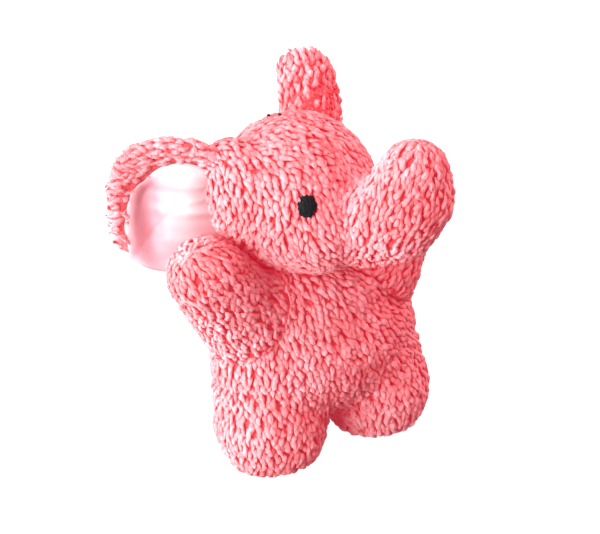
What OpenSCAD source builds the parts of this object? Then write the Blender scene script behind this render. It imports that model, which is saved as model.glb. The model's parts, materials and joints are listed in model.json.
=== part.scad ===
// Stuffed toy elephant: pile-fabric skins sewn round loose fibre filling.
// The toy stands on its two feet. +X is its left, -Y is its front, +Z is up.
// Each limb is a ball-rooted unit in a round socket, so that it can flex where it is sewn on.

/* [Torso] */
// Half of the width at the hips
hip_half_w = 49.5; // [44:0.5:52]
// Half of the width at the shoulders
shoulder_half_w = 36; // [32:0.5:38]
// Half of the depth, back to belly
torso_half_d = 33; // [28:0.5:37]
// Height of the torso's lower end
torso_bottom_z = 45; // [44:0.5:47]
// Height of the torso's upper end
torso_top_z = 94.5; // [92:0.5:95]
// Radius of the neck that the head is sewn to
neck_r = 17; // [14:0.5:19]
// Height of the neck's top
neck_top_z = 106; // [102:0.5:110]

/* [Legs] */
// Distance from the middle of the toy to the middle of a leg
leg_x = 29; // [28:0.5:31]
// Half of a leg's width
leg_half_w = 25; // [22:0.5:26]
// Half of a leg's depth
leg_half_d = 26; // [24:0.5:28]
// Height of the point that a leg swings about
hip_z = 37; // [34:0.5:38]
// Radius of a leg's root
hip_r = 20; // [17:0.5:21]

/* [Arms] */
// Distance from the middle of the toy to the point that an arm swings about
arm_root_x = 40; // [39:0.5:44]
// Height of that point
arm_root_z = 86; // [84:0.5:88]
// Radius of an arm
arm_r = 17; // [14:0.5:18]
// Length from that point to the end of the paw
arm_len = 42; // [36:0.5:44]
// Angle of the right arm above the horizontal
right_arm_raise = 41; // [30:1:44]
// Angle of the left arm above the horizontal
left_arm_raise = 50; // [30:1:52]
// How far the right arm reaches forward of straight sideways
right_arm_forward = 31; // [20:1:34]
// How far the left arm reaches forward of straight sideways, and a minus sign is back
left_arm_forward = -12; // [-15:1:15]

/* [Head] */
// Height of the head's middle
head_z = 130.5; // [130.5:0.5:133]
// Distance of the head's middle in front of the torso's middle
head_forward = 6; // [3:0.5:8]
// Half of the head's length, nape to brow
head_half_l = 36; // [34:0.5:38]
// Half of the head's width, side to side
head_half_w = 38; // [36:0.5:39]
// Half of the head's height
head_half_h = 35; // [33:0.5:35]
// How far the head is turned towards the toy's left
head_turn_rest = 30; // [20:1:34]
// Diameter of an embroidered eye
eye_d = 9.5; // [7:0.5:11]

/* [Trunk] */
// Radius of the trunk's root
trunk_root_r = 19.5; // [18:0.5:20]
// Radius at the middle of the trunk
trunk_mid_r = 18; // [15:0.5:19]
// Distance of the trunk's root in front of the head's middle
trunk_root_forward = 37; // [36:0.5:40]

/* [Ears] */
// Length of an ear, from its seam to its edge
ear_len = 48; // [42:0.5:50]
// Half of the width of an ear, across its length
ear_half_w = 28.5; // [25:0.5:30]
// Thickness of the pile fabric of an ear
ear_back_t = 4; // [3:0.5:5]
// Thickness of the satin lining
ear_lining_t = 1.5; // [1:0.1:2]

/* [Fabric] */
// Thickness of the skin's cloth and pile
skin_t = 3; // [2:0.1:4]
// Room left between the skin and the filling
fill_gap = 0.3; // [0.2:0.05:0.6]
// Room left between a limb's root and its socket
socket_gap = 0.5; // [0.4:0.05:0.8]

/* [Hidden] */

pile_pink = [0.93, 0.55, 0.58];
satin = [0.98, 0.92, 0.93];
fibre_white = [0.95, 0.94, 0.92];
yarn_black = [0.06, 0.05, 0.05];
thread_dark = [0.25, 0.12, 0.12];

// Where the middle of the torso stands, so that the origin is under the middle of the whole toy
stand = [4.87, 3.77, 0];

ring_n = 24;
row_n = 15;
limb_ring_n = 20;
limb_row_n = 13;

x_axis = [1, 0, 0];
z_axis = [0, 0, 1];
// Face direction and the head's own left
face = [sin(head_turn_rest), -cos(head_turn_rest), 0];
head_left = [cos(head_turn_rest), sin(head_turn_rest), 0];
head_mid = [0, -head_forward, head_z];
// A place on the head from its forward, left and up distances
function on_head(forward, left, up) = head_mid + forward * face + left * head_left + up * z_axis;

// ---- Stuffed forms: rings along a path, with rounded ends ----

// A smooth curve through four values
function curve(a, b, c, d, t) =
    0.5 * (2 * b + (c - a) * t + (2 * a - 5 * b + 4 * c - d) * t * t + (3 * b - a - 3 * c + d) * t * t * t);
// The value at s, from 0 to 1, along a list of stations
function along(list, s) =
    let (n = len(list) - 1, k = min(floor(s * n), n - 1), t = s * n - k)
    curve(list[max(k - 1, 0)], list[k], list[k + 1], list[min(k + 2, n)], t);
function unit(v) = v / norm(v);
function heading(path, s) = unit(along(path, min(s + 0.02, 1)) - along(path, max(s - 0.02, 0)));
// How full the form is at s: 1 in the middle and 0 at both ends
function fullness(s, round) = pow(max(1 - pow(abs(2 * s - 1), round), 0), 1 / round);

// A root is [pivot, ball radius, direction of the limb]: a point on the ball's side of the pivot
// is drawn in to the ball
function rooted(p, root, inset) =
    let (v = p - root[0], r = root[1] - inset)
    v * root[2] < 0 && norm(v) > r ? root[0] + unit(v) * r : p;

// A form is [path, half sizes along side, half sizes along front, side axis, roundness, root],
// and a form that isn't a limb has no root
// A point of a form: s runs from one end to the other, a goes round, inset is how far inside it lies,
// and a point inside stays above the floor
function form_point(f, s, a, inset) =
    let (
        t = heading(f[0], s),
        side = unit(f[3] - (f[3] * t) * t),
        front = cross(side, t),
        e = fullness(s, f[4]),
        mid = along(f[0], s) - t * inset * (2 * s - 1),
        rs = (along(f[1], s) - inset) * e,
        rf = (along(f[2], s) - inset) * e,
        q = mid + side * rs * cos(a) + front * rf * sin(a),
        p = len(f) > 5 ? rooted(q, f[5], inset) : q
    )
    inset > 0 ? [p[0], p[1], max(p[2], inset)] : p;

// Rows are closer together near the ends, where the form curves most, and stop just short of the poles
pole_gap = 0.2;
function row_at(i, rows) = 0.5 - 0.5 * cos(pole_gap + (180 - 2 * pole_gap) * i / rows);

// Points of a part of a form, from angle a0 to angle a1
function sheet_points(f, inset, a0, a1, rows, cols) =
    [for (i = [0:rows], j = [0:cols]) form_point(f, row_at(i, rows), a0 + (a1 - a0) * j / cols, inset)];

// A closed solid of the whole form
module filled_form(f, inset, rows, cols) {
    rings = sheet_points(f, inset, 0, 360 - 360 / cols, rows, cols - 1);
    n = cols;
    wall = [for (i = [0:rows - 1], j = [0:n - 1])
        let (k = (j + 1) % n) each [
            [i * n + j, (i + 1) * n + k, (i + 1) * n + j],
            [i * n + j, i * n + k, (i + 1) * n + k]
        ]];
    ends = [[for (j = [n - 1:-1:0]) j], [for (j = [0:n - 1]) rows * n + j]];
    polyhedron(rings, concat(wall, ends), convexity = 6);
}

// A closed solid between two grids of points that lie over each other
module sheet_solid(upper, lower, rows, cols) {
    w = cols + 1;
    m = len(upper);
    top = [for (i = [0:rows - 1], j = [0:cols - 1]) each [
        [i * w + j, (i + 1) * w + j, (i + 1) * w + j + 1],
        [i * w + j, (i + 1) * w + j + 1, i * w + j + 1]
    ]];
    bottom = [for (t = top) [t[2] + m, t[1] + m, t[0] + m]];
    edge = concat(
        [for (i = [0:rows - 1]) [i * w, (i + 1) * w]],
        [for (j = [0:cols - 1]) [rows * w + j, rows * w + j + 1]],
        [for (i = [rows:-1:1]) [i * w + cols, (i - 1) * w + cols]],
        [for (j = [cols:-1:1]) [j, j - 1]]
    );
    rim = [for (e = edge) each [[e[0], e[0] + m, e[1] + m], [e[0], e[1] + m, e[1]]]];
    polyhedron(concat(upper, lower), concat(top, bottom, rim), convexity = 8);
}

// Half of a form's skin, from angle a0 to a0 + 180, as one closed shell
module skin_half(f, a0, rows, cols) {
    outer = sheet_points(f, 0, a0, a0 + 180, rows, cols);
    inner = sheet_points(f, skin_t, a0, a0 + 180, rows, cols);
    sheet_solid(inner, outer, rows, cols);
}

// ---- The forms of this toy ----

torso = [
    [[0, 0, torso_bottom_z], [0, 0, 62], [0, 0, 80], [0, 0, torso_top_z]],
    [hip_half_w, hip_half_w, 42, shoulder_half_w],
    [torso_half_d - 1, torso_half_d, 30, 24],
    x_axis, 3.4
];

// A leg hangs from its hip to a flat sole
function leg(sgn) =
    let (hip = [sgn * leg_x, 0, hip_z])
    [
        [hip + [0, 0, hip_r], hip, [sgn * leg_x, -1, 16], [sgn * leg_x, -1, -6]],
        [hip_r, hip_r, leg_half_w, leg_half_w - 1],
        [hip_r, hip_r, leg_half_d, leg_half_d - 1],
        x_axis, 2.8, [hip, hip_r, -z_axis]
    ];

// An arm reaches out, up and a little forward
function arm_way(sgn) =
    let (
        raise = sgn < 0 ? right_arm_raise : left_arm_raise,
        forward = sgn < 0 ? right_arm_forward : left_arm_forward
    )
    [sgn * cos(raise) * cos(forward), -cos(raise) * sin(forward), sin(raise)];
arm_root_forward = 6;
function arm_pivot(sgn) = [sgn * arm_root_x, -arm_root_forward, arm_root_z];
function arm(sgn) =
    let (way = arm_way(sgn), mid = arm_pivot(sgn))
    [
        [mid - arm_r * way, mid + 3 * way, mid + 23 * way, mid + arm_len * way],
        [arm_r, arm_r, arm_r, arm_r - 1],
        [arm_r, arm_r, arm_r, arm_r - 1],
        [sgn * way[2], 0, -sgn * way[0]], 2.4, [mid, arm_r, way]
    ];

head = [
    [on_head(5, 0, -head_half_h), on_head(2, 0, -13), on_head(0, 0, 13), on_head(-2, 0, head_half_h)],
    [head_half_l + 2, head_half_l + 1, head_half_l, head_half_l - 2],
    [head_half_w + 2, head_half_w + 1, head_half_w, head_half_w - 3],
    face, 2.2
];

// The trunk leaves the face and curls up
trunk_root_below = 12.5;
trunk_root = on_head(trunk_root_forward, 0, -trunk_root_below);
trunk_way = unit(face + 0.15 * z_axis);
trunk = [
    [
        trunk_root - trunk_root_r * trunk_way, trunk_root, on_head(51, 0, -8),
        on_head(60, 0, 4), on_head(61, 0, 24)
    ],
    [trunk_root_r, trunk_root_r, trunk_mid_r, trunk_mid_r - 2, trunk_mid_r - 4],
    [trunk_root_r, trunk_root_r, trunk_mid_r, trunk_mid_r - 2, trunk_mid_r - 4],
    head_left, 2.4, [trunk_root, trunk_root_r, trunk_way]
];

// ---- Sockets that the limbs' roots turn in ----

// The ball of a root, and the room in front of it that the limb sweeps
sweep_room = 6;
module socket(pivot, r, way, lip) {
    turn = [0, acos(way[2]), atan2(way[1], way[0])];
    translate(pivot)
        sphere(r = r + socket_gap, $fn = 48);
    translate(pivot - lip * way)
        rotate(turn)
            cylinder(r = r + sweep_room, h = r + lip, $fn = 48);
}

arm_lip = 6;
trunk_lip = 6.5;

module torso_sockets() {
    for (sgn = [-1, 1]) {
        translate([sgn * leg_x, 0, hip_z])
            sphere(r = hip_r + socket_gap, $fn = 48);
        socket(arm_pivot(sgn), arm_r, arm_way(sgn), arm_lip);
    }
}

neck_y = -2;
neck_depth = 14;
module neck(r, top) {
    translate([0, neck_y, torso_top_z - neck_depth])
        cylinder(r = r, h = top - torso_top_z + neck_depth, $fn = 48);
}

// ---- Torso ----

module torso_panel(a0) {
    color(pile_pink)
        difference() {
            skin_half(torso, a0, row_n, ring_n / 2);
            torso_sockets();
            neck(neck_r + fill_gap, neck_top_z);
        }
}
module torso_front_panel() { torso_panel(0); }
module torso_back_panel() { torso_panel(180); }

module torso_stuffing() {
    color(fibre_white)
        difference() {
            union() {
                filled_form(torso, skin_t + fill_gap, row_n, ring_n);
                neck(neck_r, neck_top_z);
            }
            torso_sockets();
        }
}

// Ladder stitches that close the filling hole in the left side seam
stitch_n = 6;
stitch_r = 0.7;
stitch_len = 5;
first_stitch_row = 0.2;
stitch_step = 0.05;
module closing_stitches() {
    color(pile_pink)
        for (i = [0:stitch_n - 1])
            translate(form_point(torso, first_stitch_row + stitch_step * i, 0, -1))
                rotate([90, 0, 0])
                    cylinder(r = stitch_r, h = stitch_len, center = true, $fn = 24);
}

// ---- Limbs ----

module limb_panel(f, a0) {
    color(pile_pink)
        skin_half(f, a0, limb_row_n, limb_ring_n / 2);
}
module limb_stuffing(f) {
    color(fibre_white)
        filled_form(f, skin_t + fill_gap, limb_row_n, limb_ring_n);
}

// A leg's skin is cut flat where it stands on the floor
floor_cut = 100;
module leg_panel(f, a0) {
    difference() {
        limb_panel(f, a0);
        color(pile_pink)
            translate([-floor_cut / 2, -floor_cut / 2, -floor_cut] + f[5][0] - hip_z * z_axis)
                cube(floor_cut);
    }
}

module right_leg_front_panel() { leg_panel(leg(-1), 180); }
module right_leg_back_panel() { leg_panel(leg(-1), 0); }
module right_leg_stuffing() { limb_stuffing(leg(-1)); }
module left_leg_front_panel() { leg_panel(leg(1), 180); }
module left_leg_back_panel() { leg_panel(leg(1), 0); }
module left_leg_stuffing() { limb_stuffing(leg(1)); }

module right_arm_front_panel() { limb_panel(arm(-1), 0); }
module right_arm_back_panel() { limb_panel(arm(-1), 180); }
module right_arm_stuffing() { limb_stuffing(arm(-1)); }
module left_arm_front_panel() { limb_panel(arm(1), 180); }
module left_arm_back_panel() { limb_panel(arm(1), 0); }
module left_arm_stuffing() { limb_stuffing(arm(1)); }

module trunk_right_panel() { limb_panel(trunk, 90); }
module trunk_left_panel() { limb_panel(trunk, -90); }
module trunk_stuffing() { limb_stuffing(trunk); }

// ---- Head ----

module head_openings() {
    socket(trunk_root, trunk_root_r, trunk_way, trunk_lip);
    neck(neck_r + socket_gap, neck_top_z + socket_gap);
}
module head_panel(a0) {
    color(pile_pink)
        difference() {
            skin_half(head, a0, row_n, ring_n / 2);
            head_openings();
        }
}
module head_right_panel() { head_panel(0); }
module head_left_panel() { head_panel(180); }
module head_stuffing() {
    color(fibre_white)
        difference() {
            filled_form(head, skin_t + fill_gap, row_n, ring_n);
            head_openings();
        }
}

// An eye is a low dome of yarn on the side of the face
eye_angle = 52;
eye_row = 0.54;
eye_h = 2.4;
module eye(a) {
    base = form_point(head, eye_row, a, -0.4);
    way = unit(base - form_point(head, eye_row, a, 6));
    color(yarn_black)
        translate(base)
            rotate([0, acos(way[2]), atan2(way[1], way[0])])
                rotate_extrude($fn = 36)
                    polygon(concat([[0, 0]], [for (t = [0:15:90]) [eye_d / 2 * cos(t), eye_h * sin(t)]]));
}
module right_eye() { eye(eye_angle); }
module left_eye() { eye(-eye_angle); }

// The ends of the head's seam threads lie on the seam over the crown: how far forward of the head's
// middle each one is, and how far it is above
thread_end_r = 0.9;
thread_end_places = [[-7, 35.4], [-12, 34.9]];
module crown_thread_ends() {
    color(thread_dark)
        for (p = thread_end_places)
            translate(on_head(p[0], 0, p[1]))
                sphere(r = thread_end_r, $fn = 24);
}

// ---- Ears ----

// An ear is [middle of its seam, way out, way across, way that the lining faces, radius of its curl,
// angle that the curl turns through on each side of the middle]
ear_root_back = 17;
ear_root_side = head_half_w + 0.5;
ear_root_up = 9;
function ear_out(sgn, sweep, rise) =
    cos(rise) * (sgn * cos(sweep) * head_left - sin(sweep) * face) + sin(rise) * z_axis;
function square_to(v, n) = unit(v - (v * n) * n);
function ear_of(sgn, sweep, rise, across, curl, bend) =
    let (out = ear_out(sgn, sweep, rise), v = square_to(across, out))
    [on_head(-ear_root_back, sgn * ear_root_side, ear_root_up), out, v, cross(v, out), curl, bend];
// The right ear is spread, and the left ear stands up and is folded lengthwise
right_ear_sweep = 63;
right_ear_rise = 9;
right_ear_curl_r = 100;
left_ear_sweep = 25;
left_ear_rise = 47;
left_ear_curl_r = 6.5;
curl_turn = 90;
right_ear = ear_of(-1, right_ear_sweep, right_ear_rise, z_axis, right_ear_curl_r, curl_turn);
left_ear = ear_of(1, left_ear_sweep, left_ear_rise, -face, left_ear_curl_r, curl_turn);

// Half of an ear's width at u, from its seam (0) to its edge (1)
ear_root_share = 0.66;
widest_at = 0.45;
function ear_width(u, w) =
    u < widest_at
        ? w * (ear_root_share + (1 - ear_root_share) * sin(90 * u / widest_at))
        : w * sqrt(max(1 - pow((u - widest_at) / (1.001 - widest_at), 2), 0.004));
// A point of an ear: the sheet is wrapped across on a cylinder and goes on straight where the curl
// ends, t is the height above its lining side
function ear_point(e, u, v, t, len_u, w) =
    let (
        r = e[4],
        reach = abs(v) * ear_width(u, w),
        turn = min(reach / r * 180 / PI, e[5]),
        flap = max(reach - r * e[5] * PI / 180, 0),
        across = (r - t) * sin(turn) + flap * cos(turn),
        depth = r - (r - t) * cos(turn) + flap * sin(turn)
    )
    e[0] + e[1] * u * len_u + e[2] * sign(v) * across + e[3] * depth;

ear_rows = 12;
ear_cols = 16;
// A closed sheet between the heights t0 and t1
module ear_sheet(e, u0, len_u, w, t0, t1) {
    side = function (t) [for (i = [0:ear_rows], j = [0:ear_cols])
        ear_point(e, u0 + (1 - u0) * sin(90 * i / ear_rows), 2 * j / ear_cols - 1, t, len_u, w)];
    sheet_solid(side(t1), side(t0), ear_rows, ear_cols);
}

module ear_back(e) {
    color(pile_pink)
        ear_sheet(e, 0, ear_len, ear_half_w, -ear_back_t, 0);
}
rim_w = 6;
lining_start = 0.03;
module ear_lining(e) {
    color(satin)
        ear_sheet(e, lining_start, ear_len - rim_w, ear_half_w - rim_w, fill_gap, fill_gap + ear_lining_t);
}
module right_ear_back() { ear_back(right_ear); }
module right_ear_lining() { ear_lining(right_ear); }
module left_ear_back() { ear_back(left_ear); }
module left_ear_lining() { ear_lining(left_ear); }

// ---- Drawing ----
translate(stand) torso_front_panel();
translate(stand) torso_back_panel();
translate(stand) torso_stuffing();
translate(stand) closing_stitches();
translate(stand) right_leg_front_panel();
translate(stand) right_leg_back_panel();
translate(stand) right_leg_stuffing();
translate(stand) left_leg_front_panel();
translate(stand) left_leg_back_panel();
translate(stand) left_leg_stuffing();
translate(stand) right_arm_front_panel();
translate(stand) right_arm_back_panel();
translate(stand) right_arm_stuffing();
translate(stand) left_arm_front_panel();
translate(stand) left_arm_back_panel();
translate(stand) left_arm_stuffing();
translate(stand) head_right_panel();
translate(stand) head_left_panel();
translate(stand) head_stuffing();
translate(stand) crown_thread_ends();
translate(stand) right_eye();
translate(stand) left_eye();
translate(stand) trunk_right_panel();
translate(stand) trunk_left_panel();
translate(stand) trunk_stuffing();
translate(stand) right_ear_back();
translate(stand) right_ear_lining();
translate(stand) left_ear_back();
translate(stand) left_ear_lining();
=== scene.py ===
"""Stuffed toy elephant: curly pile skin, satin-lined ears and yarn eyes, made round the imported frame.

Lengths in this script are millimetres in the frame's own axes, and turn into metres in make_mesh().
The skin of each stuffed part is a surface round smooth-joined solids, and the pile is many small
combed tufts that stand on it. The ears are flat forms wrapped across a cylinder.
"""
import json
import math

import bpy
import mathutils
import numpy as np
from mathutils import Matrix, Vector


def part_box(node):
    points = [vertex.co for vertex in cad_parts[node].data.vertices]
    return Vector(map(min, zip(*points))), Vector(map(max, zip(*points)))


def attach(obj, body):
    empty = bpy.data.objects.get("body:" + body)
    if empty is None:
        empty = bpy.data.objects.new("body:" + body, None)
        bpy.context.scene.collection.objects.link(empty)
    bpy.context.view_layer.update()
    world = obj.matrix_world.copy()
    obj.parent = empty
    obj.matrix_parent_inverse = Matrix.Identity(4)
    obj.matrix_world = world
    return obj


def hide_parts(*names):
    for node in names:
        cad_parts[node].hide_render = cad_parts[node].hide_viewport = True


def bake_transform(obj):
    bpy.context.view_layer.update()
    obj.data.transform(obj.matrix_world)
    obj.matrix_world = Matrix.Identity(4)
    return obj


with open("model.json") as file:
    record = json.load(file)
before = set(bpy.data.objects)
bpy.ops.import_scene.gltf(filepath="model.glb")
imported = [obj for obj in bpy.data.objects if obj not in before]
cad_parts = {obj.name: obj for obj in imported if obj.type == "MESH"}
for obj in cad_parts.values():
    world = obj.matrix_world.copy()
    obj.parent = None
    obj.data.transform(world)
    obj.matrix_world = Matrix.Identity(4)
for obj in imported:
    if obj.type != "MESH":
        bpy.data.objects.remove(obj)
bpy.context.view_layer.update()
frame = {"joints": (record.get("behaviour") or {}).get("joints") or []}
MM = 0.001
SEED = 26
UP = np.array([0.0, 0.0, 1.0])


def unit(v):
    """v, or each row of v, at length 1."""
    return v / np.maximum(np.linalg.norm(v, axis=-1, keepdims=True), 1e-9)


# ---- Places, all read from the frame ----

JOINTS = {j["name"]: j for j in frame["joints"]}


def pivot(joint):
    """The place of a joint."""
    return np.array(JOINTS[joint]["pos_m"]) / MM


def joint_axis(joint):
    """The direction of a joint's axis."""
    return unit(np.array(JOINTS[joint]["axis"], float))


def box_mid(node):
    """The middle of a node's box."""
    low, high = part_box(node)
    return (np.array(low) + np.array(high)) / 2 / MM


HIP = {side: pivot(side + "_leg_swing") for side in ("right", "left")}
SHOULDER = {side: pivot(side + "_arm_swing") for side in ("right", "left")}
ARM_WAY = {side: unit(box_mid(side + "_arm_stuffing") - SHOULDER[side]) for side in ("right", "left")}
ARM_WAY["right"] = unit(ARM_WAY["right"] + [0.0, 0.10, 0.25])
BELT_Z = 62.0
TORSO_MID = np.array([*(HIP["right"] + HIP["left"])[:2] / 2, BELT_Z])
HEAD_LEFT = -joint_axis("trunk_curl")
FACE = np.cross(HEAD_LEFT, UP)
TRUNK_ROOT = pivot("trunk_curl")
HEAD_MID = TRUNK_ROOT - 37.0 * FACE + 12.5 * UP


def on_head(forward, left, up):
    """A place from its forward, left and up distances from the head's middle."""
    return HEAD_MID + forward * FACE + left * HEAD_LEFT + up * UP


# ---- Solids as distance functions: below 0 inside, above 0 outside ----

def ball(mid, r):
    """Distance to a ball."""
    return lambda p: np.linalg.norm(p - mid, axis=-1) - r


def egg(mid, half, axes=np.eye(3)):
    """Near distance to an ellipsoid with those half sizes along its axes."""
    half = np.array(half)

    def distance(p):
        q = (p - mid) @ np.array(axes).T
        k0 = np.linalg.norm(q / half, axis=-1)
        k1 = np.linalg.norm(q / half**2, axis=-1)
        return k0 * (k0 - 1.0) / np.maximum(k1, 1e-9)

    return distance


def taper(a, b, ra, rb):
    """Near distance to a round-ended rod from a to b whose radius goes from ra to rb."""
    ab = b - a

    def distance(p):
        h = np.clip((p - a) @ ab / (ab @ ab), 0.0, 1.0)
        return np.linalg.norm(p - a - h[..., None] * ab, axis=-1) - (ra + (rb - ra) * h)

    return distance


def joined(soft, *parts):
    """The parts as one solid, with the creases between them filled over the width soft."""

    def distance(p):
        d = parts[0](p)
        for part in parts[1:]:
            e = part(p)
            h = np.clip(0.5 + 0.5 * (e - d) / soft, 0.0, 1.0)
            d = e + (d - e) * h - soft * h * (1.0 - h)
        return d

    return distance


def standing(part, floor, soft=6.0):
    """The part with its lower end cut flat at the height floor, with a round edge."""

    def distance(p):
        d, e = part(p), floor - p[..., 2]
        h = np.clip(0.5 - 0.5 * (e - d) / soft, 0.0, 1.0)
        return e + (d - e) * h + soft * h * (1.0 - h)

    return distance


SOLE_Z = 1.6
torso_solid = joined(
    12.0,
    egg(TORSO_MID + [0.5, 0.0, -7.0], (51.5, 32.5, 34.0)),
    egg(TORSO_MID + 19.0 * UP, (39.5, 28.0, 21.0)),
)
leg_solid = {
    side: standing(joined(8.0, ball(hip, 19.5), egg(hip + [0.0, -1.0, -13.0], (25.0, 26.5, 29.0))), SOLE_Z)
    for side, hip in HIP.items()
}
ARM_REACH = {"right": 26.5, "left": 24.5}
ARM_RADII = {"right": (20.5, 16.8), "left": (18.0, 16.0)}
ARM_START = -4.0
arm_solid = {
    side: taper(root + ARM_START * ARM_WAY[side], root + ARM_REACH[side] * ARM_WAY[side], *ARM_RADII[side])
    for side, root in SHOULDER.items()
}
HEAD_AXES = (FACE, HEAD_LEFT, UP)
head_solid = joined(
    10.0,
    egg(HEAD_MID - 1.5 * FACE, (34.8, 38.0, 34.8), HEAD_AXES),
    egg(on_head(17.0, 0.0, -13.5), (22.0, 31.0, 19.5), HEAD_AXES),
    egg(on_head(-15.0, -30.0, 11.0), (14.0, 11.0, 22.0), HEAD_AXES),
    egg(on_head(-15.0, 29.0, 6.0), (12.0, 8.0, 14.0), HEAD_AXES),
)
TRUNK_PATH = np.array(
    [on_head(34.0, 0.0, -12.5), on_head(48.0, 0.0, -9.5), on_head(57.5, 0.0, 0.0), on_head(60.5, 0.0, 10.5)]
)
TRUNK_RADII = (19.5, 18.2, 16.4, 14.0)
trunk_solid = joined(
    7.0,
    *[
        taper(TRUNK_PATH[i], TRUNK_PATH[i + 1], TRUNK_RADII[i], TRUNK_RADII[i + 1])
        for i in range(len(TRUNK_PATH) - 1)
    ],
)


# ---- Surfaces from those solids ----

HALVINGS = 22
POLE_TILT = 0.03


def march(solid, origins, ways, reach=70.0):
    """How far each ray from inside a solid goes before it leaves it, by halving the interval."""
    low = np.zeros(origins.shape[:-1])
    high = np.full_like(low, reach)
    for _ in range(HALVINGS):
        mid = (low + high) / 2
        inside = solid(origins + ways * mid[..., None]) < 0
        low, high = np.where(inside, mid, low), np.where(inside, high, mid)
    return low


def closed_grid_faces(rows, cols):
    """Quads of a grid whose columns close on themselves, and the two end polygons."""
    i, j = np.meshgrid(np.arange(rows - 1), np.arange(cols), indexing="ij")
    k = (j + 1) % cols
    corners = [i * cols + j, i * cols + k, (i + 1) * cols + k, (i + 1) * cols + j]
    quads = np.stack(corners, -1).reshape(-1, 4)
    ends = [list(range(cols))[::-1], list(range((rows - 1) * cols, rows * cols))]
    return quads.tolist() + ends


def repeated_faces(count, rows, sides):
    """The quads and the end polygons of that many closed grids, one after the other."""
    one = closed_grid_faces(rows, sides)
    shift = (np.arange(count) * rows * sides)[:, None, None]
    quads, ends = np.array(one[:-2]) + shift, np.array(one[-2:]) + shift
    return quads.reshape(-1, 4).tolist() + ends.reshape(-1, sides).tolist()


def around(way):
    """Two directions square to way and to each other."""
    side = unit(np.cross(way, UP if abs(way[2]) < 0.9 else np.array([0.0, 1.0, 0.0])))
    return side, np.cross(way, side)


def round_skin(solid, mid, rows=72, cols=112):
    """A closed skin: rays in all directions from mid to the surface of the solid."""
    tilt = np.linspace(POLE_TILT, math.pi - POLE_TILT, rows)[:, None]
    turn = np.linspace(0, 2 * math.pi, cols, endpoint=False)[None, :]
    ways = [np.sin(tilt) * np.cos(turn), np.sin(tilt) * np.sin(turn), np.cos(tilt) + 0 * turn]
    ways = np.stack(ways, -1)[::-1]
    origins = np.broadcast_to(mid, ways.shape)
    return origins + ways * march(solid, origins, ways)[..., None], closed_grid_faces(rows, cols)


def limb_skin(limb, parent, path, soft, flare, rows=64, cols=72, root_tilt=128.0):
    """The skin of a limb along a path from its root to its end: rays square to the path, leaning
    back at the root and forward round the end, to the surface of the limb joined with its parent,
    but at most flare beyond the limb's own surface, so that the root goes under the parent's skin."""
    path = np.array(path)
    t = np.linspace(0.0, 1.0, rows)
    tilt = np.radians(np.interp(t, [0.0, 0.3, 0.62, 1.0], [root_tilt, 90.0, 90.0, 1.5]))
    place = np.interp(t, [0.0, 0.3, 0.72, 1.0], [0.0, 0.0, 1.0, 1.0]) * (len(path) - 1)
    k = np.minimum(place.astype(int), len(path) - 2)
    origins = path[k] + (place - k)[:, None] * (path[k + 1] - path[k])
    knots = unit(np.gradient(path, axis=0))
    ahead = unit(knots[k] + (place - k)[:, None] * (knots[k + 1] - knots[k]))
    side, other = around(ahead[0])
    side = unit(side - (ahead @ side)[:, None] * ahead)
    other = np.cross(ahead, side)
    turn = np.linspace(0, 2 * math.pi, cols, endpoint=False)
    ring = side[:, None] * np.cos(turn)[None, :, None] + other[:, None] * np.sin(turn)[None, :, None]
    ways = ahead[:, None] * np.cos(tilt)[:, None, None] + ring * np.sin(tilt)[:, None, None]
    start = np.broadcast_to(origins[:, None], ways.shape)
    own = march(limb, start, ways)
    both = march(joined(soft, limb, parent), start, ways)
    back = np.clip((np.degrees(tilt) - 90.0) / 30.0, 0.0, 1.0)[:, None]
    reach = np.minimum(both, own + flare * (1.0 - 0.6 * back))
    return start + ways * reach[..., None], closed_grid_faces(rows, cols)


# ---- Meshes ----

def make_mesh(name, points, faces, pile=None, tone=None):
    """A smooth-shaded object from points and faces, with the pile's height (on the satin, its painted shade
    and highlight) and tone kept on them.
    """
    mesh = bpy.data.meshes.new(name)
    mesh.from_pydata((np.asarray(points).reshape(-1, 3) * MM).tolist(), [], faces)
    mesh.polygons.foreach_set("use_smooth", np.ones(len(mesh.polygons), bool))
    for key, values in (("pile", pile), ("tone", tone)):
        if values is not None:
            kept = mesh.attributes.new(key, "FLOAT", "POINT")
            kept.data.foreach_set("value", np.asarray(values, np.float32))
    mesh.update()
    obj = bpy.data.objects.new(name, mesh)
    bpy.context.scene.collection.objects.link(obj)
    return obj


# ---- Pile ----

def scatter(points, faces, gap, rng, keep=None):
    """Places spread over a surface no nearer to each other than gap, and the normals there."""
    tri = np.array([(f[0], f[i], f[i + 1]) for f in faces for i in range(1, len(f) - 1)])
    p = np.asarray(points).reshape(-1, 3)
    a, b, c = p[tri[:, 0]], p[tri[:, 1]], p[tri[:, 2]]
    cross = np.cross(b - a, c - a)
    area = np.linalg.norm(cross, axis=1) / 2
    count = int(area.sum() / gap**2 * TRIES_PER_CELL)
    pick = rng.choice(len(tri), count, p=area / area.sum())
    s, t = rng.random(count), rng.random(count)
    s, t = np.where(s + t > 1, 1 - s, s), np.where(s + t > 1, 1 - t, t)
    place = a[pick] + s[:, None] * (b - a)[pick] + t[:, None] * (c - a)[pick]
    normal = unit(cross[pick])
    if keep is not None:
        kept = keep(place)
        place, normal = place[kept], normal[kept]
    cells, chosen = {}, []
    near = [(x, y, z) for x in (-1, 0, 1) for y in (-1, 0, 1) for z in (-1, 0, 1)]
    for n, (cell, q) in enumerate(zip((place // gap).astype(int).tolist(), place.tolist())):
        taken = (
            r
            for dx, dy, dz in near
            for r in cells.get((cell[0] + dx, cell[1] + dy, cell[2] + dz), ())
        )
        if not any((q[0] - r[0]) ** 2 + (q[1] - r[1]) ** 2 + (q[2] - r[2]) ** 2 < gap * gap for r in taken):
            cells.setdefault(tuple(cell), []).append(q)
            chosen.append(n)
    return place[chosen], normal[chosen]


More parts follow.
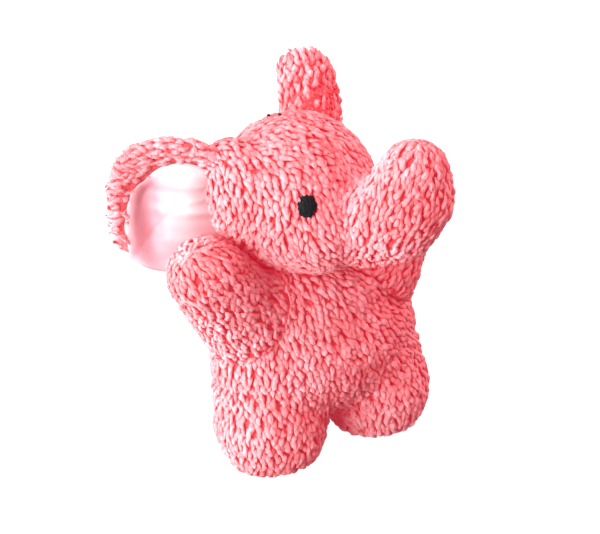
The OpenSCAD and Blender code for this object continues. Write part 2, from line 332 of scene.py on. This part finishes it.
TUFT_ROWS, TUFT_SIDES = 6, 6
TUFT_SWING = 0.26
TUFT_BOW = 0.45
TUFT_SINK = 0.7
TUFT_THICKNESS = 0.62
TUFT_LUMPS = 0.13
CLOTH_LEVEL, TIP_LEVEL = -0.6, 2.0
SOLE_CLEARANCE = 0.05
TRIES_PER_CELL = 5


def tufts(place, normal, comb, rng, length=5.9, width=2.9, height=1.75):
    """One curled leaf of loops at each place. Its spine leaves the cloth, leans over along comb and
    bends back down, and its section is a flat ellipse that is widest a little before the middle."""
    n = len(place)
    comb = unit(comb - np.sum(comb * normal, 1, keepdims=True) * normal)
    side = np.cross(normal, comb)
    swing = rng.normal(0.0, TUFT_SWING, (n, 1))
    comb, side = comb * np.cos(swing) + side * np.sin(swing), side * np.cos(swing) - comb * np.sin(swing)
    long = length * rng.uniform(0.75, 1.2, n)[:, None]
    wide = width * rng.uniform(0.8, 1.2, n)[:, None]
    high = height * rng.uniform(0.7, 1.25, n)[:, None]
    bow = rng.normal(0.0, TUFT_BOW, n)[:, None]
    t = np.linspace(0.0, 1.0, TUFT_ROWS)[None, :]
    along = long * (t - 0.35)
    up = high * np.sin(math.pi * (0.04 + 0.66 * t**0.9)) - TUFT_SINK
    across = bow * np.sin(math.pi * t)
    r = wide / 2 * np.sin(math.pi * (0.10 + 0.84 * t**0.75)) ** 0.9
    spine = place[:, None] + along[..., None] * comb[:, None] + up[..., None] * normal[:, None]
    spine = spine + across[..., None] * side[:, None]
    turn = np.linspace(0, 2 * math.pi, TUFT_SIDES, endpoint=False)
    out = side[:, None, None] * np.cos(turn)[None, None, :, None]
    out = out + TUFT_THICKNESS * normal[:, None, None] * np.sin(turn)[None, None, :, None]
    lumps = 1.0 + TUFT_LUMPS * rng.normal(0.0, 1.0, (n, TUFT_ROWS, TUFT_SIDES))
    points = spine[:, :, None] + (r[..., None] * lumps)[..., None] * out
    # level: height above the cloth, which the pile's colour turns partly into painted shade near the cloth
    level = np.sum((points - place[:, None, None]) * normal[:, None, None], -1)
    tone = np.broadcast_to(rng.random(n)[:, None, None], level.shape)
    faces = repeated_faces(n, TUFT_ROWS, TUFT_SIDES)
    return points.reshape(-1, 3), faces, level.reshape(-1), tone.reshape(-1)


def piled(name, points, faces, comb, gap=2.15, keep=None, seed=0, pale=0.0, **shape):
    """A skin with its pile, as one mesh. comb gives the way that the pile is brushed at each place,
    and pale moves the pile's colour towards that of its tips."""
    rng = np.random.default_rng(SEED + seed)
    base = np.asarray(points).reshape(-1, 3)
    place, normal = scatter(base, faces, gap, rng, keep)
    more, more_faces, level, tone = tufts(place, normal, comb(place, normal), rng, **shape)
    n = len(base)
    every = np.concatenate([base, more])
    every[:, 2] = np.maximum(every[:, 2], SOLE_CLEARANCE)
    # The cloth takes the lowest level and so the deepest coral, partly painted shade between the tufts
    pile = np.concatenate([np.full(n, CLOTH_LEVEL), level]) + pale
    tones = np.concatenate([np.full(n, 0.5), tone])
    return make_mesh(name, every, faces + [[k + n for k in f] for f in more_faces], pile, tones)


def threads(name, lines, radius, sides=6):
    """Thin round tubes along lines (n, rows, 3), whose radius thins to nothing at both ends."""
    n, rows = lines.shape[:2]
    ahead = unit(np.gradient(lines, axis=1))
    side = unit(np.cross(ahead, ahead[:, :1] * 0 + unit(np.array([0.31, 0.52, 0.79]))))
    other = np.cross(ahead, side)
    turn = np.linspace(0, 2 * math.pi, sides, endpoint=False)
    ring = side[:, :, None] * np.cos(turn)[:, None] + other[:, :, None] * np.sin(turn)[:, None]
    r = radius * np.sin(math.pi * np.linspace(0.06, 0.94, rows)) ** 0.4
    points = lines[:, :, None] + ring * r[None, :, None, None]
    faces = repeated_faces(n, rows, sides)
    tone = np.repeat(np.random.default_rng(SEED).random(n), rows * sides)
    return make_mesh(name, points, faces, None, tone)


# ---- Materials ----

def new_material(name, roughness, sheen=0.0, specular=0.3, subsurface=0.0):
    """A material with its shader, its node tree and the sockets that are the same all over."""
    mat = bpy.data.materials.new(name)
    mat.use_nodes = True
    tree = mat.node_tree
    shader = tree.nodes["Principled BSDF"]
    shader.inputs["Roughness"].default_value = roughness
    shader.inputs["Sheen Weight"].default_value = sheen
    shader.inputs["Sheen Roughness"].default_value = 0.45
    shader.inputs["Sheen Tint"].default_value = (1.0, 0.86, 0.87, 1.0)
    shader.inputs["Specular IOR Level"].default_value = specular
    shader.inputs["Subsurface Weight"].default_value = subsurface
    shader.inputs["Subsurface Radius"].default_value = (1.0, 0.35, 0.35)
    shader.inputs["Subsurface Scale"].default_value = 0.0016
    return mat, tree, shader


def node(tree, kind, **inputs):
    """A node with those input values, and a link where the value is an output socket."""
    made = tree.nodes.new(kind)
    for key, value in inputs.items():
        socket = made.inputs[key.replace("_", " ")]
        if isinstance(value, bpy.types.NodeSocket):
            tree.links.new(value, socket)
        else:
            socket.default_value = value
    return made


def ramp(tree, value, stops):
    """Colours by value: stops are (place, colour)."""
    made = tree.nodes.new("ShaderNodeValToRGB")
    bar = made.color_ramp.elements
    while len(bar) < len(stops):
        bar.new(0.5)
    for element, (place, colour) in zip(bar, stops):
        element.position, element.color = place, (*colour, 1.0)
    tree.links.new(value, made.inputs["Fac"])
    return made.outputs["Color"]


def noise(tree, scale, detail=3.0, stretch=(1.0, 1.0, 1.0)):
    """A noise on the piece's own coordinates, drawn out by stretch."""
    place = node(tree, "ShaderNodeTexCoord").outputs["Object"]
    turned = node(tree, "ShaderNodeMapping", Vector=place, Scale=stretch)
    return node(
        tree, "ShaderNodeTexNoise", Vector=turned.outputs["Vector"], Scale=scale, Detail=detail
    ).outputs["Fac"]


def bump(tree, shader, height, distance, strength=1.0):
    """Turns a height into the shader's normal."""
    made = node(tree, "ShaderNodeBump", Height=height, Distance=distance, Strength=strength)
    tree.links.new(made.outputs["Normal"], shader.inputs["Normal"])


def attribute(tree, name):
    """A number kept on the mesh."""
    made = tree.nodes.new("ShaderNodeAttribute")
    made.attribute_name = name
    return made.outputs["Fac"]


def between(tree, value, low, high):
    """value, taken from low..high to 0..1."""
    made = node(tree, "ShaderNodeMapRange", Value=value)
    made.inputs["From Min"].default_value = low
    made.inputs["From Max"].default_value = high
    return made.outputs["Result"]


def multiplied(tree, a, b, share=1.0):
    """The colour a, multiplied by the colour b to that share."""
    made = tree.nodes.new("ShaderNodeMix")
    made.data_type, made.blend_type = "RGBA", "MULTIPLY"
    colour_sockets = [socket for socket in made.inputs if socket.type == "RGBA"]
    made.inputs["Factor"].default_value = share
    tree.links.new(a, colour_sockets[0])
    tree.links.new(b, colour_sockets[1])
    return [socket for socket in made.outputs if socket.type == "RGBA"][0]


def pile_material():
    """Curly pile: deep coral at the cloth, through coral, to pale pink at the tips of the tufts, partly the
    pile's own deeper roots and partly painted shade between the tufts; each tuft a little lighter or
    deeper, with a fine bump of fibres. A faint red glow is painted light that stands for the light
    that passes on from fibre to fibre in the creases."""
    mat, tree, shader = new_material("curly_pile", roughness=0.9, sheen=0.12, specular=0.05, subsurface=0.7)
    # Painted light: a faint red glow over all the pile, for light passed on between fibres in the creases
    shader.inputs["Emission Color"].default_value = (1.0, 0.015, 0.07, 1.0)
    shader.inputs["Emission Strength"].default_value = 0.25
    level = between(tree, attribute(tree, "pile"), CLOTH_LEVEL, TIP_LEVEL)
    grain = noise(tree, 900.0, 2.0)
    height = node(tree, "ShaderNodeMath", Value=level)
    height.operation = "ADD"
    drift = node(tree, "ShaderNodeMath", Value=grain)
    drift.operation = "MULTIPLY_ADD"
    drift.inputs[1].default_value, drift.inputs[2].default_value = 0.24, -0.12
    tree.links.new(drift.outputs[0], height.inputs[1])
    # Height to colour: the deep coral low down is partly the pile's own deeper roots and partly painted
    # shade between the tufts
    colour = ramp(
        tree,
        height.outputs[0],
        [
            (0.0, (0.60, 0.068, 0.070)),
            (0.30, (0.64, 0.125, 0.128)),
            (0.62, (0.64, 0.208, 0.218)),
            (0.95, (0.66, 0.280, 0.298)),
        ],
    )
    light = ramp(tree, attribute(tree, "tone"), [(0.0, (0.84, 0.76, 0.77)), (1.0, (1.0, 1.0, 1.0))])
    colour = multiplied(tree, colour, light)
    patch = ramp(tree, noise(tree, 38.0, 2.0), [(0.36, (0.92, 0.66, 0.65)), (0.60, (1.0, 1.0, 1.0))])
    colour = multiplied(tree, colour, patch)
    tree.links.new(colour, shader.inputs["Base Color"])
    bump(tree, shader, noise(tree, 1800.0, 4.0, (1.0, 1.0, 0.45)), 0.0012, 0.65)
    return mat


def satin_material():
    """Satin: near white, with painted pink shade in its hollows and painted highlights where its sheet is
    raised, a fine twill and a soft gloss.
    """
    mat, tree, shader = new_material("ear_satin", roughness=0.45, sheen=0.05, specular=0.3, subsurface=0.15)
    # Painted shade and highlight: deep pink where the lining's pale value is low, near white where it is
    # high
    tint = ramp(
        tree,
        attribute(tree, "pile"),
        [(0.0, (0.50, 0.15, 0.175)), (0.55, (0.54, 0.27, 0.285)), (1.0, (0.62, 0.48, 0.49))],
    )
    mottle = ramp(tree, noise(tree, 60.0, 2.0), [(0.3, (0.95, 0.88, 0.90)), (0.7, (1.0, 1.0, 1.0))])
    colour = multiplied(tree, tint, mottle, 0.5)
    tree.links.new(colour, shader.inputs["Base Color"])
    bump(tree, shader, noise(tree, 2400.0, 3.0, (1.0, 0.3, 1.0)), 0.0003, 0.35)
    return mat


def yarn_material(name, dark, light, roughness=0.7, sheen=0.0):
    """Twisted yarn: each strand its own shade, with a fine bump along it."""
    mat, tree, shader = new_material(name, roughness=roughness, sheen=sheen, specular=0.12)
    colour = ramp(tree, attribute(tree, "tone"), [(0.0, dark), (1.0, light)])
    fibres = ramp(tree, noise(tree, 1500.0), [(0.3, (0.6, 0.6, 0.6)), (0.7, (1.0, 1.0, 1.0))])
    colour = multiplied(tree, colour, fibres, 0.5)
    tree.links.new(colour, shader.inputs["Base Color"])
    bump(tree, shader, noise(tree, 3500.0, 3.0), 0.0004, 0.6)
    return mat


PILE = pile_material()
SATIN = satin_material()
EYE_YARN = yarn_material("eye_yarn", (0.002, 0.0015, 0.002), (0.010, 0.007, 0.009))
SEWING_THREAD = yarn_material("sewing_thread", (0.05, 0.006, 0.008), (0.10, 0.012, 0.016))
PINK_THREAD = yarn_material("pink_thread", (0.80, 0.20, 0.22), (0.90, 0.34, 0.36), sheen=0.2)


def finish_piece(obj, material, nodes):
    """Gives a piece its material and slot, and hides the frame's nodes that it stands for."""
    obj.data.materials.append(material)
    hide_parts(*nodes)
    return obj


# ---- The way that the pile is brushed ----

def mix(a, b, share):
    """Each row's direction, from a at a share of 0 to b at 1."""
    return a + (b - a) * np.clip(share, 0.0, 1.0)[:, None]


def comb_body(place, normal):
    """Down, turning outwards to the toy's left across the belly and chest."""
    outwards = np.array([1.0, -0.15, -0.35])
    share = np.clip((place[:, 0] + 20.0) / 55.0, 0.0, 1.0) * np.clip((place[:, 2] - 20.0) / 45.0, 0.0, 1.0)
    front = np.clip(0.5 - normal[:, 1], 0.0, 1.0)
    return mix(np.array([[0.06, 0.0, -1.0]]), unit(outwards)[None], share * front * 0.8)


def comb_head(place, normal):
    """Round the head from the face to the nape, in lines that follow its outline, and down at the
    sides, where those lines would meet in a whorl."""
    sides = np.abs(normal @ HEAD_LEFT)[:, None] ** 6
    flow = np.cross(np.broadcast_to(HEAD_LEFT, normal.shape), normal) - 1.2 * sides * UP
    low = np.clip((HEAD_MID[2] - 4.0 - place[:, 2]) / 26.0, 0.0, 1.0)
    return mix(flow, np.cross(np.broadcast_to(UP, normal.shape), normal), low * 0.8)


def comb_along(way):
    """Straight along a direction."""
    return lambda place, normal: np.broadcast_to(way, normal.shape) + 0.001 * normal[:, ::-1]


def clear_of(*solids, room=-2.2):
    """True where a place is outside the other solids, or less than that far inside."""
    return lambda place: np.all([solid(place) > room for solid in solids], axis=0)


# ---- Torso, legs and arms ----

skin, faces = round_skin(torso_solid, TORSO_MID + [0.0, 0.0, 4.0], 64, 104)
torso_pile = piled(
    "torso_pile", skin, faces, comb_body,
    keep=clear_of(*leg_solid.values(), *arm_solid.values(), head_solid), seed=1,
)
finish_piece(torso_pile, PILE, ["torso_front_panel", "torso_back_panel", "torso_stuffing"])
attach(torso_pile, "torso")

LIMB_SOFT, LIMB_FLARE = 9.0, 5.0


def limb_nodes(limb):
    """The frame's nodes that one limb is made of."""
    return [limb + "_" + part for part in ("front_panel", "back_panel", "stuffing")]


for k, side in enumerate(("right", "left")):
    hip = HIP[side]
    foot = hip + [0.0, -1.0, -21.0]
    path = [hip + [0.0, 0.0, -2.0], (hip + foot) / 2, foot]
    skin, faces = limb_skin(leg_solid[side], torso_solid, path, LIMB_SOFT, LIMB_FLARE)
    leg = piled(side + "_leg_pile", skin, faces, comb_body, keep=clear_of(torso_solid), seed=2 + k)
    finish_piece(leg, PILE, limb_nodes(side + "_leg"))
    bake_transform(leg)

for k, side in enumerate(("right", "left")):
    root, way = SHOULDER[side], ARM_WAY[side]
    tip = root + ARM_REACH[side] * way
    path = [root - 2.0 * way, (root + tip) / 2, tip]
    skin, faces = limb_skin(arm_solid[side], torso_solid, path, LIMB_SOFT, LIMB_FLARE)
    free = clear_of(torso_solid, head_solid, room=-1.5)
    arm = piled(side + "_arm_pile", skin, faces, comb_along(way), keep=free, seed=4 + k)
    finish_piece(arm, PILE, limb_nodes(side + "_arm"))
    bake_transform(arm)

# ---- Head and trunk ----

def on_skin(solid, mid, way):
    """The place where a ray from mid leaves the solid, and the normal there."""
    way = unit(np.asarray(way, float))
    place = mid + way * march(solid, np.asarray(mid)[None], way[None])[0]
    step = 0.05 * np.eye(3)
    slope = np.array([solid((place + d)[None])[0] - solid((place - d)[None])[0] for d in step])
    return place, unit(slope)


EYE_HALF, EYE_STRANDS = 4.0, 190
EYE_TURN = {"right": math.radians(54.0), "left": math.radians(59.0)}
EYE_SEATS = {}
for sgn, side in ((-1, "right"), (1, "left")):
    looks = math.cos(EYE_TURN[side]) * FACE + sgn * math.sin(EYE_TURN[side]) * HEAD_LEFT
    EYE_SEATS[side] = on_skin(head_solid, HEAD_MID + 4.0 * UP, looks)


def off_the_eyes(place):
    """True where the head's pile may stand: not inside the neck or the trunk, and not under an eye."""
    free = clear_of(torso_solid, trunk_solid, room=-3.0)(place)
    for seat, normal in EYE_SEATS.values():
        free &= np.linalg.norm(place - seat, axis=1) > EYE_HALF
    return free


skin, faces = round_skin(head_solid, HEAD_MID, 72, 112)
head_pile = piled("head_pile", skin, faces, comb_head, keep=off_the_eyes, seed=6)
finish_piece(head_pile, PILE, ["head_right_panel", "head_left_panel", "head_stuffing"])
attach(head_pile, "head")

skin, faces = limb_skin(trunk_solid, head_solid, TRUNK_PATH, 4.0, 2.5)
trunk_pile = piled(
    "trunk_pile", skin, faces, comb_along(0.4 * FACE + UP), keep=clear_of(head_solid, room=-1.5), seed=7
)
finish_piece(trunk_pile, PILE, ["trunk_right_panel", "trunk_left_panel", "trunk_stuffing"])
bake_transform(trunk_pile)


# ---- Ears ----

EAR_LEN, EAR_HALF_W = 57.0, 31.5
EAR_HALF_L = EAR_LEN / 2
EAR_SQUARENESS = 0.82
EAR_MIDDLE = EAR_HALF_L - 0.4  # the deepest inset, just short of the middle
OPEN_CURL_R = 20.0  # an ear that curls at a greater radius than this lies open
ROLL_R = 3.0  # how far in from the edge the cloth starts to roll over
BACK_DEPTH = 4.5
BACK_END, ROLL_END = 0.42, 0.64  # shares of the rows: across the back, then round the edge
RIM_SEAM = 2.5  # how far the lining goes under the pile's rim
SATIN_THICKNESS = 0.35


def square_to(v, n):
    """v with what lies along n taken out, at length 1."""
    return unit(v - (v @ n) * n)


def ear_frame(sgn, sweep, rise, across, curl_r, root):
    """The ear's root, its way out, its way across, the way that its lining faces, and its curl radius."""
    sweep, rise = math.radians(sweep), math.radians(rise)
    out = math.cos(rise) * (sgn * math.cos(sweep) * HEAD_LEFT - math.sin(sweep) * FACE) + math.sin(rise) * UP
    v = square_to(across, out)
    return root, out, v, np.cross(v, out), curl_r


EARS = {
    "right": ear_frame(-1, 58, 9, UP, 60.0, on_head(-14.0, -30.0, 3.0)),
    "left": ear_frame(1, 25, 47, -FACE, 6.5, on_head(-15.0, 32.0, 3.2)),
}


def ear_place(ear, x, y, h):
    """Wraps the flat ear across a cylinder: x out from the seam, y across, h above the lining side."""
    root, out, v, facing, r = ear
    reach = np.abs(y)
    turn = np.minimum(reach / r, math.pi / 2)
    flap = np.maximum(reach - r * math.pi / 2, 0.0)
    across = (r - h) * np.sin(turn) + flap * np.cos(turn)
    depth = r - (r - h) * np.cos(turn) + flap * np.sin(turn)
    if r < OPEN_CURL_R:
        share = x / EAR_LEN
        across = across * (0.70 + 0.55 * share - 0.22 * share**2)
    return root + out * x[..., None] + v * (np.sign(y) * across)[..., None] + facing * depth[..., None]


def ear_outline(q, inset):
    """The edge of the flat ear: a squared ellipse that starts at its seam, drawn in by inset."""
    along = np.sign(np.cos(q)) * np.abs(np.cos(q)) ** EAR_SQUARENESS
    across = np.sign(np.sin(q)) * np.abs(np.sin(q)) ** EAR_SQUARENESS
    return EAR_HALF_L - (EAR_HALF_L - inset) * along, EAR_HALF_W * (1.0 - inset / EAR_HALF_L) * across


def rim_width(q):
    """How far the pile turns over the lining: widest along the top edge, and next to nothing below."""
    present = 1.0 / (1.0 + np.exp(np.clip((q - 4.0) / 0.06, -30.0, 30.0)))
    top = np.clip(np.sin(0.55 * q + 0.7) + 0.05, 0.0, 1.0) ** 1.2 * np.clip(q / 0.35, 0.0, 1.0)
    top = top * np.clip((3.7 - q) / 1.2, 0.0, 1.0)
    tip = np.clip(-np.cos(q + 0.15), 0.0, 1.0)
    return 0.8 + present * (0.6 + 9.0 * top + 5.6 * tip)


def rim_fullness(q):
    """0 where the rim is next to nothing, to 1 where it is full."""
    return np.clip((rim_width(q) - 2.0) / 4.0, 0.0, 1.0)


def ear_back_skin(ear, rows=46, cols=96):
    """A closed form like a thick saucer: across its back, round its edge, and over its front to the
    lining, where it goes on under the lining to the middle."""
    q = np.linspace(0, 2 * math.pi, cols, endpoint=False)[None]
    s = np.linspace(0.0, 1.0, rows)[:, None]
    on_back, on_front = s < BACK_END, s > ROLL_END
    roll = np.clip((s - BACK_END) / 0.22, 0.0, 1.0) * math.pi
    inset = (EAR_HALF_L - ROLL_R) * (1 - s / BACK_END) + ROLL_R
    inset = np.where(on_back, inset, ROLL_R * (1 - np.sin(roll)))
    inset = np.where(on_front, ROLL_R + (EAR_MIDDLE - ROLL_R) * (s - ROLL_END) / 0.36, inset)
    inset = np.minimum(inset + 0 * q, EAR_MIDDLE)
    h = np.where(on_back, -BACK_DEPTH, np.where(on_front, 0.0, -2.0 - 2.5 * np.cos(roll)))
    roll_up = 1.4 * np.exp(-(((inset - 4.0) / 3.0) ** 2)) * (s > 0.5)
    hollow = -3.8 * np.clip((inset - rim_width(q) + 1.5) / 3.0, 0.0, 1.0) * (s > 0.6)
    full = rim_fullness(q)
    h = np.where(on_back, h, -BACK_DEPTH + (h + BACK_DEPTH + roll_up) * (0.55 + 0.45 * full))
    x, y = ear_outline(q + 0 * s, np.minimum(inset + 3.6 * (1.0 - full), EAR_MIDDLE))
    h = h + hollow
    if ear[4] < OPEN_CURL_R:
        spine_groove = 2.2 * np.exp(-(((y - 3.0) / 2.2) ** 2))
        h = h - on_back * spine_groove + (s < 0.5) * np.cos(0.35 * x + 0.8 * y)
    return ear_place(ear, x, y, h), closed_grid_faces(rows, cols)


def ear_lining_skin(ear, rows=40, cols=112):
    """A thin closed sheet inside the pile's rim, with soft folds that run out from the seam, and the
    painted light on its satin at each point: painted shade deep in the hollow by the tip and low down,
    and a painted highlight along the edge."""
    q = np.linspace(0, 2 * math.pi, cols, endpoint=False)[None]
    s = np.linspace(0.0, 1.0, rows)[:, None]
    share = np.where(s < 0.5, 2 * s, 2 - 2 * s)
    share = np.clip(share, 0.02, 1.0)
    edge = np.maximum(rim_width(q) - RIM_SEAM, 0.3)
    inset = edge + (EAR_HALF_L - edge) * (1 - share)
    x, y = ear_outline(q + 0 * s, np.minimum(inset, EAR_MIDDLE))
    relief = 1.0 if ear[4] > OPEN_CURL_R else 0.1
    near = np.exp(-x / 24.0)
    fold = near * (1.3 * np.cos(y * 0.42 + 0.6) + 0.7 * np.cos(y * 0.95 + 2.0))
    valley = -4.0 * np.exp(-(((x - 40.0 - 0.10 * y) / 6.5) ** 2)) * np.exp(-(((y + 3.0) / 20.0) ** 2))
    mound = 3.0 * np.exp(-(((x - 22.0) / 10.0) ** 2 + ((y - 2.0) / 14.0) ** 2))
    crease = np.exp(-(((y - 17.0 + 0.25 * (x - 40.0)) / 2.6) ** 2)) * np.exp(-(((x - 36.0) / 12.0) ** 2))
    swell = 1.6 * np.clip(1 - share**2, 0.0, 1.0) ** 0.5
    h = 1.0 + 1.6 * (rim_fullness(q) - 0.5) * share - 1.4 * share**4 + swell
    h = h + relief * (fold + valley + mound + 1.6 * crease) * np.clip((1 - share) * 3.5, 0.0, 1.0)
    # pale is painted light: raised parts of the sheet lighter and hollows deeper, then a painted shade band,
    # painted shade low down and a painted highlight along the crest and edges
    pale = np.clip((h - h.min()) / (h.max() - h.min()), 0.0, 1.0)
    painted_shade_band = np.exp(-(((x - 42.0 - 0.12 * y) / 6.0) ** 2)) * np.clip((16.0 - y) / 6.0, 0.0, 1.0)
    lower = np.clip((-y - 8.0) / 14.0, 0.0, 1.0) * np.clip((46.0 - x) / 12.0, 0.0, 1.0)
    painted_highlight_crest = np.clip((y - 12.0) / 5.0, 0.0, 1.0) + np.clip((x - 48.0) / 3.0, 0.0, 1.0)
    painted_highlight_crest = painted_highlight_crest + np.clip((-y - 22.0) / 4.0, 0.0, 1.0)
    pale = np.clip(0.75 * pale - 0.45 * painted_shade_band - 0.25 * lower + 0.5 * painted_highlight_crest, 0.0, 1.0)
    h = h + np.where(s < 0.5, -SATIN_THICKNESS / 2, SATIN_THICKNESS / 2)
    return ear_place(ear, x, y, h), closed_grid_faces(rows, cols), pale, x, y


for k, (side, ear) in enumerate(EARS.items()):
    root, out, v, _, curl_r = ear
    skin, faces = ear_back_skin(ear)
    lining, lining_faces, pale, flat_x, flat_y = ear_lining_skin(ear)
    samples = lining.reshape(-1, 3)[::7]
    lies_open = curl_r > OPEN_CURL_R

    def off_the_lining(place, samples=samples, root=root, out=out, v=v, lies_open=lies_open):
        """True on the back and the rim, and not under the lining. An open ear's lower edge stays bare
        a little further, so that no tuft shows past the lining."""
        gap = np.full(len(place), np.inf)
        for start in range(0, len(samples), 200):
            d = np.linalg.norm(place[:, None] - samples[None, start : start + 200], axis=2).min(1)
            gap = np.minimum(gap, d)
        x, y = (place - root) @ out, (place - root) @ v
        bare = rim_width(np.arctan2(y, EAR_HALF_L - x) % (2 * math.pi)) < 3.0
        return gap > (np.where(bare, 6.5, 3.0) if lies_open else 2.2)

    back = piled(
        side + "_ear_pile",
        skin,
        faces,
        comb_along(out),
        keep=off_the_lining,
        seed=8 + k,
        pale=0.6 if lies_open else 0.0,
    )
    finish_piece(back, PILE, [side + "_ear_back"])
    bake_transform(back)
    # The satin's painted shade and highlight, pale, go on the sheet as its pile attribute
    sheet = make_mesh(side + "_ear_satin", lining, lining_faces, pale.reshape(-1), None)
    finish_piece(sheet, SATIN, [side + "_ear_lining"])
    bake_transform(sheet)


# ---- Eyes, threads and stitches ----

def eye(name, side, seed):
    """An eye of many short bent yarn strands, laid side by side over a low dome."""
    rng = np.random.default_rng(SEED + seed)
    place, normal = EYE_SEATS[side]
    up = square_to(UP, normal)
    east = np.cross(up, normal)
    n = EYE_STRANDS
    r, a = np.sqrt(rng.random(n)), rng.random(n) * 2 * math.pi
    across, along = 3.5 * r * np.cos(a), EYE_HALF * r * np.sin(a)
    dome = 0.7 + 1.4 * (1 - r**2)
    heading = rng.normal(math.pi / 2, 0.5, n)
    t = np.linspace(-0.5, 0.5, 7)[None]
    long = rng.uniform(2.6, 4.4, n)[:, None]
    bow = rng.normal(0.0, 0.35, n)[:, None] * (1 - 4 * t**2)
    p_side = across[:, None] + long * t * np.cos(heading)[:, None] + bow
    p_up = along[:, None] + long * t * np.sin(heading)[:, None]
    p_out = dome[:, None] + 0.7 * (1 - 6 * t**2)
    lines = place + p_side[..., None] * east + p_up[..., None] * up + p_out[..., None] * normal
    obj = threads(name, lines, 0.42)
    finish_piece(obj, EYE_YARN, [side + "_eye"])
    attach(obj, "head")


for sgn, side in ((-1, "right"), (1, "left")):
    eye(side + "_eye_yarn", side, 20 + sgn)

lines = []
for forward in (-8.0, -2.6):
    for turn in (0.3, 1.9, 2.9):
        place, normal = on_skin(head_solid, HEAD_MID + forward * FACE, UP - 0.07 * HEAD_LEFT)
        t = np.linspace(-1.0, 1.0, 7)[:, None]
        heading = math.cos(turn) * FACE + math.sin(turn) * HEAD_LEFT
        lines.append(place + normal * (2.9 - 0.7 * t**2) + 0.8 * t * heading)
crown = threads("crown_thread_tips", np.array(lines), 0.48)
finish_piece(crown, SEWING_THREAD, ["crown_thread_ends"])
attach(crown, "head")

low, high = (np.array(corner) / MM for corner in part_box("closing_stitches"))
lines = []
for z in np.linspace(low[2] + 0.7, high[2] - 0.7, 6):
    seat = np.array([TORSO_MID[0], TORSO_MID[1], z])
    place, normal = on_skin(torso_solid, seat, [1.0, 0.0, 0.0])
    t = np.linspace(-1.0, 1.0, 7)[:, None]
    lines.append(place + normal * (2.4 - 1.4 * t**2) + 2.4 * t * np.array([0.0, 1.0, 0.12]))
stitches = threads("closing_stitch_threads", np.array(lines), 0.45)
finish_piece(stitches, PINK_THREAD, ["closing_stitches"])
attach(stitches, "torso")


# ---- Floor, lights and camera ----

def area_light(name, place, aim, size, watts, colour):
    """A soft square lamp at place that points at aim, in metres."""
    lamp = bpy.data.lights.new(name, "AREA")
    lamp.size, lamp.energy, lamp.color = size, watts, colour
    obj = bpy.data.objects.new(name, lamp)
    obj.location = place
    way = np.array(aim) - np.array(place)
    obj.rotation_euler = mathutils.Vector(way).to_track_quat("-Z", "Y").to_euler()
    bpy.context.scene.collection.objects.link(obj)


def floor_sheet():
    """A plain white floor that shows no horizon and doesn't light the toy."""
    half, z = 3000.0, -0.2
    corners = [(-half, -half, z), (half, -half, z), (half, half, z), (-half, half, z)]
    floor = make_mesh("floor", corners, [[0, 1, 2, 3]])
    mat, tree, shader = new_material("pale_floor", roughness=0.9)
    shader.inputs["Emission Color"].default_value = (1.0, 1.0, 1.0, 1.0)
    shader.inputs["Emission Strength"].default_value = 1.0
    colour = ramp(tree, noise(tree, 3.0), [(0.3, (0.15, 0.15, 0.15)), (0.7, (0.17, 0.17, 0.17))])
    tree.links.new(colour, shader.inputs["Base Color"])
    floor.data.materials.append(mat)
    floor.visible_diffuse = False


floor_sheet()
AIM = np.array([0.005, 0.004, 0.10])
area_light("key", (-1.15, -0.14, 0.20), AIM, 1.4, 112.0, (0.76, 1.0, 1.0))
area_light("front_fill", (-0.45, -0.70, 1.30), AIM, 0.9, 7.5, (1.0, 0.82, 0.84))
area_light("right_fill", (0.95, -0.35, 0.95), AIM, 0.9, 27.0, (1.0, 0.72, 0.74))
area_light("back_light", (0.2, 0.9, 0.9), AIM, 0.8, 6.0, (1.0, 1.0, 1.0))

world = bpy.data.worlds.new("white_room")
world.use_nodes = True
room = world.node_tree
seen = node(room, "ShaderNodeLightPath").outputs["Is Camera Ray"]
strength = between(room, seen, 0.0, 1.0)
strength.node.inputs["To Min"].default_value = 0.23
room.nodes["Background"].inputs["Color"].default_value = (1.0, 1.0, 1.0, 1.0)
room.links.new(strength, room.nodes["Background"].inputs["Strength"])
bpy.context.scene.world = world
bpy.context.scene.view_settings.view_transform = "Standard"

AZIMUTH, ELEVATION, LEAN = math.radians(-28.0), math.radians(20.0), math.radians(8.0)
DISTANCE, LENS = 900.0, 116.1
backwards = np.array(
    [math.sin(AZIMUTH) * math.cos(ELEVATION), -math.cos(AZIMUTH) * math.cos(ELEVATION), math.sin(ELEVATION)]
)
level_right = np.array([math.cos(AZIMUTH), math.sin(AZIMUTH), 0.0])
level_up = np.cross(backwards, level_right)
right = math.cos(LEAN) * level_right - math.sin(LEAN) * level_up
up = math.sin(LEAN) * level_right + math.cos(LEAN) * level_up
SIGHT = np.array([4.87, 3.77, 98.94])
eye_point = SIGHT - 6.8 * up - 0.3 * right + DISTANCE * backwards
camera_data = bpy.data.cameras.new("camera")
camera_data.lens, camera_data.sensor_width, camera_data.sensor_fit = LENS, 36.0, "HORIZONTAL"
camera = bpy.data.objects.new("camera", camera_data)
camera.matrix_world = mathutils.Matrix(
    [[*row, place * MM] for row, place in zip(np.stack([right, up, backwards], 1).tolist(), eye_point)]
    + [[0, 0, 0, 1]]
)
bpy.context.scene.collection.objects.link(camera)
bpy.context.scene.camera = camera
